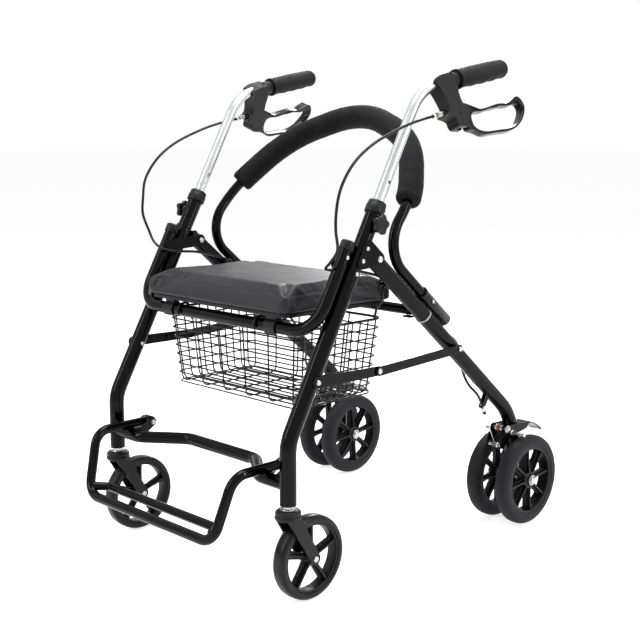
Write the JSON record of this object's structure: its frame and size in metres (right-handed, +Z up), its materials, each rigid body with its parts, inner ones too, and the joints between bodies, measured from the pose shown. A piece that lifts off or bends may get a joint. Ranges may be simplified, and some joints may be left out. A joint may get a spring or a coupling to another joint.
{
  "type": "walker with seat",
  "caption": "Folding wheeled walker with a padded seat, curved foam backrest, wire basket, folding footrest, swivelling casters, paired rear wheels and hand brakes.",
  "frame": {"origin": "on the floor, in the middle of the walker's box", "axes": "+Z up, the front (casters and footrest) faces -Y, and the user's left is +X"},
  "size_m": [0.6074, 0.8173, 0.9015],
  "materials": {
    "frame_black": "gloss",
    "plastic_black": "satin",
    "tube_silver": "anodised satin",
    "hardware_zinc": "satin",
    "tyre_rubber": "matte",
    "grip_rubber": "matte",
    "foam_black": "matte",
    "vinyl_black": "satin",
    "wire_black": "satin",
    "spring_copper": "satin"
  },
  "bodies": {
    "front_frame": {"seat_front_tube": "frame_black", "lower_brace": "frame_black", "basket": "wire_black", "left_front_leg": "frame_black", "left_tube_cap": "plastic_black", "left_height_collar": "plastic_black", "left_hinge_bracket": "frame_black", "left_hinge_bolt": "hardware_zinc", "left_front_stay_bolt": "hardware_zinc", "left_brake_cable": "plastic_black", "right_front_leg": "frame_black", "right_tube_cap": "plastic_black", "right_height_collar": "plastic_black", "right_hinge_bracket": "frame_black", "right_hinge_bolt": "hardware_zinc", "right_front_stay_bolt": "hardware_zinc", "right_brake_cable": "plastic_black"},
    "rear_frame": {"left_rear_leg": "frame_black", "left_backrest_socket": "frame_black", "left_rear_axle": "hardware_zinc", "left_rear_stay_bolt": "hardware_zinc", "left_brake_spring": "spring_copper", "left_seat_rest": "frame_black", "right_rear_leg": "frame_black", "right_backrest_socket": "frame_black", "right_rear_axle": "hardware_zinc", "right_rear_stay_bolt": "hardware_zinc", "right_brake_spring": "spring_copper", "right_seat_rest": "frame_black"},
    "seat": {"seat_cushion": "vinyl_black", "seat_board": "plastic_black", "seat_rear_tube": "frame_black"},
    "footrest_frame": {"footrest": "frame_black"},
    "backrest": {"backrest_tube": "frame_black", "backrest_foam": "foam_black"},
    "left_front_stay": {"left_front_stay": "frame_black"},
    "left_rear_stay": {"left_rear_stay": "frame_black"},
    "left_handle": {"left_handle_tube": "tube_silver", "left_grip": "grip_rubber", "left_brake_housing": "plastic_black"},
    "left_brake_lever": {"left_brake_lever": "plastic_black"},
    "left_rear_brake": {"left_rear_brake": "frame_black"},
    "left_height_knob": {"left_height_knob": "plastic_black"},
    "left_caster_fork": {"left_caster_fork": "plastic_black"},
    "left_caster_wheel": {"left_caster_wheel": "tyre_rubber"},
    "left_inner_rear_wheel": {"left_inner_rear_wheel": "tyre_rubber"},
    "left_outer_rear_wheel": {"left_outer_rear_wheel": "tyre_rubber"},
    "right_front_stay": {"right_front_stay": "frame_black"},
    "right_rear_stay": {"right_rear_stay": "frame_black"},
    "right_handle": {"right_handle_tube": "tube_silver", "right_grip": "grip_rubber", "right_brake_housing": "plastic_black"},
    "right_brake_lever": {"right_brake_lever": "plastic_black"},
    "right_rear_brake": {"right_rear_brake": "frame_black"},
    "right_height_knob": {"right_height_knob": "plastic_black"},
    "right_caster_fork": {"right_caster_fork": "plastic_black"},
    "right_caster_wheel": {"right_caster_wheel": "tyre_rubber"},
    "right_inner_rear_wheel": {"right_inner_rear_wheel": "tyre_rubber"},
    "right_outer_rear_wheel": {"right_outer_rear_wheel": "tyre_rubber"}
  },
  "joints": [
    {"name": "rear_fold", "type": "hinge", "parent": "front_frame", "child": "rear_frame", "pos_m": [0, -0.09459, 0.5589], "axis": [-1, 0, 0], "range_deg": [0, 48], "deforming": ["left_brake_cable", "right_brake_cable"]},
    {"name": "seat_flip", "type": "hinge", "parent": "front_frame", "child": "seat", "pos_m": [0, -0.22979, 0.446], "axis": [1, 0, 0], "range_deg": [0, 75]},
    {"name": "footrest_fold", "type": "hinge", "parent": "front_frame", "child": "footrest_frame", "pos_m": [0, -0.25219, 0.22565], "axis": [-1, 0, 0], "range_deg": [0, 100]},
    {"name": "backrest_slide", "type": "slide", "parent": "rear_frame", "child": "backrest", "axis": [0, -0.7638, 0.6455], "range_m": [0, 0.015]},
    {"name": "left_front_stay_fold", "type": "hinge", "parent": "front_frame", "child": "left_front_stay", "pos_m": [0.254, -0.24002, 0.3695], "axis": [1, 0, 0], "range_deg": [0, 53]},
    {"name": "left_rear_stay_fold", "type": "hinge", "parent": "rear_frame", "child": "left_rear_stay", "pos_m": [0.257, 0.12081, 0.37687], "axis": [-1, 0, 0], "range_deg": [0, 27]},
    {"name": "left_handle_slide", "type": "slide", "parent": "front_frame", "child": "left_handle", "axis": [0, 0.4833, 0.8755], "range_m": [-0.08, 0.04]},
    {"name": "left_lever_squeeze", "type": "hinge", "parent": "left_handle", "child": "left_brake_lever", "pos_m": [0.26772, 0.08566, 0.79849], "axis": [0.9223, -0.1193, 0.3677], "range_deg": [0, 12], "stiffness_Nm_per_rad": 1.5, "springref_deg": -5.73},
    {"name": "left_brake_crank", "type": "hinge", "parent": "rear_frame", "child": "left_rear_brake", "pos_m": [0.241, 0.27781, 0.1946], "axis": [-1, 0, 0], "range_deg": [0, 14], "stiffness_Nm_per_rad": 1.5, "springref_deg": -5.73},
    {"name": "left_knob_turn", "type": "hinge", "parent": "front_frame", "child": "left_height_knob", "pos_m": [0.26, -0.10285, 0.618], "axis": [1, 0, 0], "continuous": true},
    {"name": "left_caster_swivel", "type": "hinge", "parent": "front_frame", "child": "left_caster_fork", "pos_m": [0.241, -0.29219, 0.16], "axis": [0, 0, 1], "continuous": true},
    {"name": "left_caster_roll", "type": "hinge", "parent": "left_caster_fork", "child": "left_caster_wheel", "pos_m": [0.241, -0.24669, 0.0721], "axis": [1, 0, 0], "continuous": true},
    {"name": "left_inner_rear_roll", "type": "hinge", "parent": "rear_frame", "child": "left_inner_rear_wheel", "pos_m": [0.206, 0.31941, 0.08923], "axis": [1, 0, 0], "continuous": true},
    {"name": "left_outer_rear_roll", "type": "hinge", "parent": "rear_frame", "child": "left_outer_rear_wheel", "pos_m": [0.276, 0.31941, 0.08923], "axis": [1, 0, 0], "continuous": true},
    {"name": "right_front_stay_fold", "type": "hinge", "parent": "front_frame", "child": "right_front_stay", "pos_m": [-0.254, -0.24002, 0.3695], "axis": [1, 0, 0], "range_deg": [0, 53]},
    {"name": "right_rear_stay_fold", "type": "hinge", "parent": "rear_frame", "child": "right_rear_stay", "pos_m": [-0.257, 0.12081, 0.37687], "axis": [-1, 0, 0], "range_deg": [0, 27]},
    {"name": "right_handle_slide", "type": "slide", "parent": "front_frame", "child": "right_handle", "axis": [0, 0.4833, 0.8755], "range_m": [-0.08, 0.04]},
    {"name": "right_lever_squeeze", "type": "hinge", "parent": "right_handle", "child": "right_brake_lever", "pos_m": [-0.26772, 0.08566, 0.79849], "axis": [0.9223, 0.1193, -0.3677], "range_deg": [0, 12], "stiffness_Nm_per_rad": 1.5, "springref_deg": -5.73},
    {"name": "right_brake_crank", "type": "hinge", "parent": "rear_frame", "child": "right_rear_brake", "pos_m": [-0.241, 0.27781, 0.1946], "axis": [-1, 0, 0], "range_deg": [0, 14], "stiffness_Nm_per_rad": 1.5, "springref_deg": -5.73},
    {"name": "right_knob_turn", "type": "hinge", "parent": "front_frame", "child": "right_height_knob", "pos_m": [-0.26, -0.10285, 0.618], "axis": [1, 0, 0], "continuous": true},
    {"name": "right_caster_swivel", "type": "hinge", "parent": "front_frame", "child": "right_caster_fork", "pos_m": [-0.241, -0.29219, 0.16], "axis": [0, 0, 1], "continuous": true},
    {"name": "right_caster_roll", "type": "hinge", "parent": "right_caster_fork", "child": "right_caster_wheel", "pos_m": [-0.241, -0.24669, 0.0721], "axis": [1, 0, 0], "continuous": true},
    {"name": "right_inner_rear_roll", "type": "hinge", "parent": "rear_frame", "child": "right_inner_rear_wheel", "pos_m": [-0.206, 0.31941, 0.08923], "axis": [1, 0, 0], "continuous": true},
    {"name": "right_outer_rear_roll", "type": "hinge", "parent": "rear_frame", "child": "right_outer_rear_wheel", "pos_m": [-0.276, 0.31941, 0.08923], "axis": [1, 0, 0], "continuous": true}
  ],
  "couplings": [
    {"joint": "left_front_stay_fold", "follows": "rear_fold", "ratio": 1.102},
    {"joint": "left_rear_stay_fold", "follows": "rear_fold", "ratio": 0.56},
    {"joint": "left_brake_crank", "follows": "left_lever_squeeze", "ratio": 1.1667},
    {"joint": "right_front_stay_fold", "follows": "rear_fold", "ratio": 1.102},
    {"joint": "right_rear_stay_fold", "follows": "rear_fold", "ratio": 0.56},
    {"joint": "right_brake_crank", "follows": "right_lever_squeeze", "ratio": 1.1667}
  ]
}
